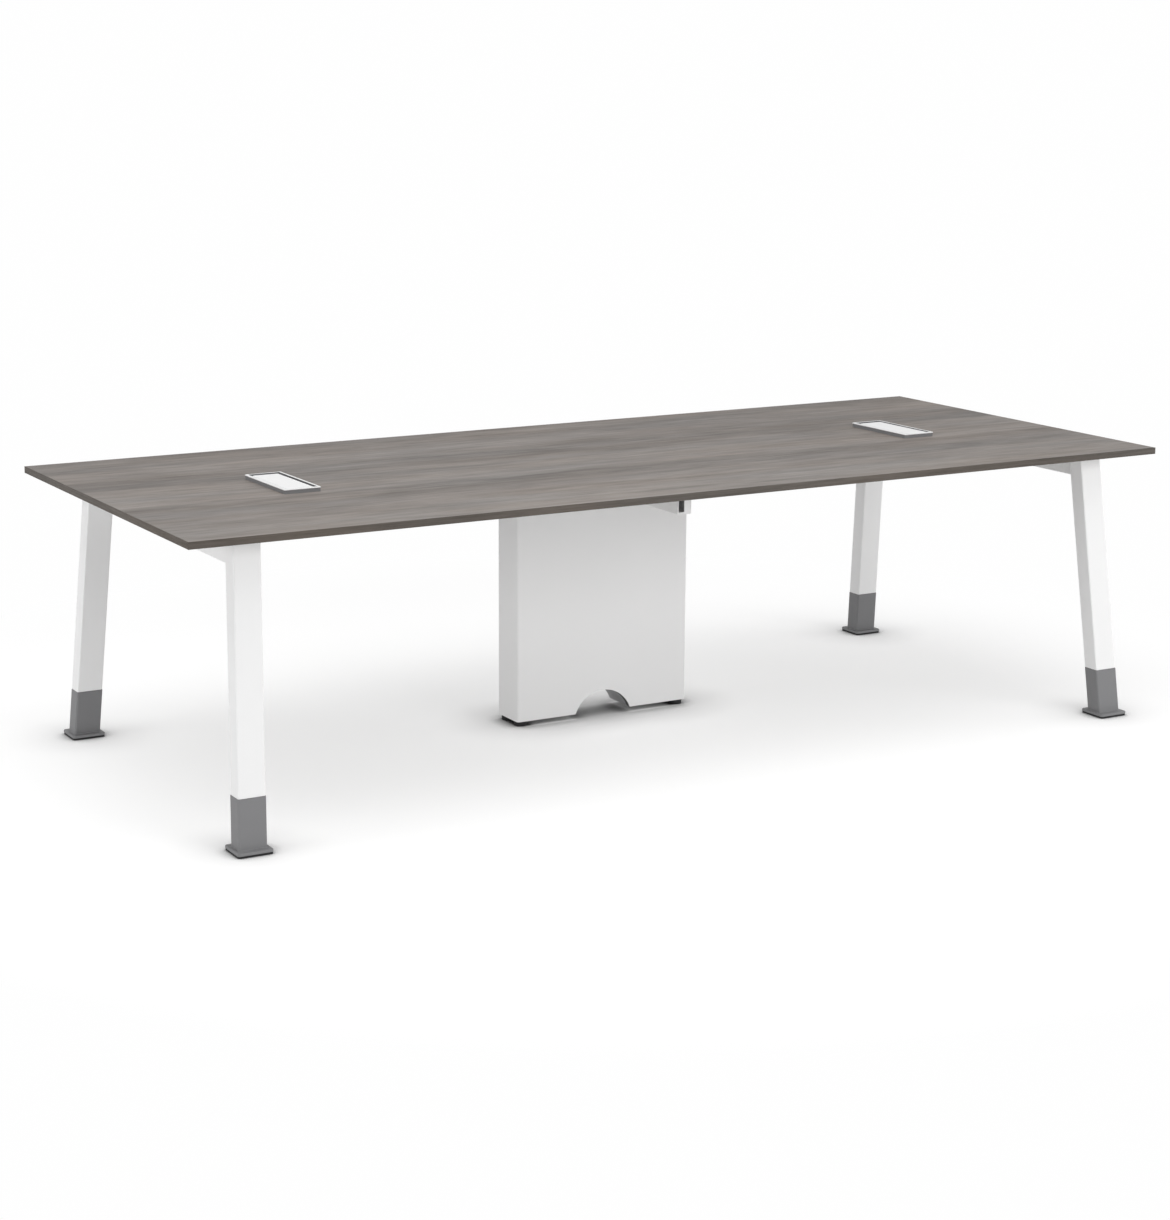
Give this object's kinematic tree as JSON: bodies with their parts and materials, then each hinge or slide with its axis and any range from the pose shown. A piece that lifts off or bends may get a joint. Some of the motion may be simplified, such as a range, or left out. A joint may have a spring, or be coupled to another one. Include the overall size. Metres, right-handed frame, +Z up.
{
  "type": "conference table",
  "caption": "Long rectangular conference table with wood-grain top, raked tube legs on levelling feet, flip-lid cable boxes in the top and a floor-standing cable column.",
  "frame": {"origin": "on the floor, under the middle of the top", "axes": "+X along the table to the picture's right, +Y across it to the back, +Z up"},
  "size_m": [2.86, 1.247, 0.762],
  "materials": {
    "wood_top": "satin grey-brown wood-grain laminate, grain along the table",
    "edging": "darker matching edging",
    "white_steel": "smooth white powder coat",
    "grey_plastic": "matt grey moulding",
    "black_rubber": "matt black",
    "zinc": "zinc-plated steel"
  },
  "bodies": {
    "table": {"tabletop_board": "wood_top", "edge_band_front": "edging", "edge_band_back": "edging", "edge_band_left": "edging", "edge_band_right": "edging", "leg_fl": "white_steel", "leg_fr": "white_steel", "leg_bl": "white_steel", "leg_br": "white_steel", "end_beam_left": "white_steel", "end_beam_right": "white_steel", "mid_beam": "white_steel", "rail_fl": "white_steel", "rail_fr": "white_steel", "rail_bl": "white_steel", "rail_br": "white_steel", "rail_bracket_fl": "white_steel", "rail_bracket_fr": "white_steel", "rail_bracket_bl": "white_steel", "rail_bracket_br": "white_steel", "foot_shoe_fl": "grey_plastic", "foot_shoe_fr": "grey_plastic", "foot_shoe_bl": "grey_plastic", "foot_shoe_br": "grey_plastic", "foot_nut_fl": "zinc", "foot_nut_fr": "zinc", "foot_nut_bl": "zinc", "foot_nut_br": "zinc", "column_shell": "white_steel", "column_back_panel": "white_steel", "column_arch_liner": "grey_plastic", "column_top_plate": "white_steel", "column_foot_bracket_left": "white_steel", "column_foot_bracket_right": "white_steel", "cable_box_left_frame": "white_steel", "cable_box_left_surround": "grey_plastic", "cable_box_left_tray": "grey_plastic", "cable_box_left_pin_near": "zinc", "cable_box_left_pin_far": "zinc", "cable_box_right_frame": "white_steel", "cable_box_right_surround": "grey_plastic", "cable_box_right_tray": "grey_plastic", "cable_box_right_pin_near": "zinc", "cable_box_right_pin_far": "zinc"},
    "lid_left": {"cable_box_left_lid": "white_steel"},
    "lid_right": {"cable_box_right_lid": "white_steel"},
    "foot_fl": {"foot_pad_fl": "black_rubber", "foot_stem_fl": "zinc"},
    "foot_fr": {"foot_pad_fr": "black_rubber", "foot_stem_fr": "zinc"},
    "foot_bl": {"foot_pad_bl": "black_rubber", "foot_stem_bl": "zinc"},
    "foot_br": {"foot_pad_br": "black_rubber", "foot_stem_br": "zinc"},
    "glide_fl": {"column_glide_fl": "black_rubber"},
    "glide_fr": {"column_glide_fr": "black_rubber"},
    "glide_bl": {"column_glide_bl": "black_rubber"},
    "glide_br": {"column_glide_br": "black_rubber"}
  },
  "joints": [
    {"name": "lid_left_hinge", "type": "hinge", "parent": "table", "child": "lid_left", "pos_m": [-0.9814, 0, 0.756], "axis": [0, -1, 0], "range_deg": [0, 100]},
    {"name": "lid_right_hinge", "type": "hinge", "parent": "table", "child": "lid_right", "pos_m": [0.9266, 0, 0.756], "axis": [0, -1, 0], "range_deg": [0, 100]},
    {"name": "foot_fl_level", "type": "slide", "parent": "table", "child": "foot_fl", "axis": [0, 0, -1], "range_m": [0, 0.015]},
    {"name": "foot_fr_level", "type": "slide", "parent": "table", "child": "foot_fr", "axis": [0, 0, -1], "range_m": [0, 0.015]},
    {"name": "foot_bl_level", "type": "slide", "parent": "table", "child": "foot_bl", "axis": [0, 0, -1], "range_m": [0, 0.015]},
    {"name": "foot_br_level", "type": "slide", "parent": "table", "child": "foot_br", "axis": [0, 0, -1], "range_m": [0, 0.015]},
    {"name": "glide_fl_level", "type": "slide", "parent": "table", "child": "glide_fl", "axis": [0, 0, -1], "range_m": [0, 0.01]},
    {"name": "glide_fr_level", "type": "slide", "parent": "table", "child": "glide_fr", "axis": [0, 0, -1], "range_m": [0, 0.01]},
    {"name": "glide_bl_level", "type": "slide", "parent": "table", "child": "glide_bl", "axis": [0, 0, -1], "range_m": [0, 0.01]},
    {"name": "glide_br_level", "type": "slide", "parent": "table", "child": "glide_br", "axis": [0, 0, -1], "range_m": [0, 0.01]}
  ]
}
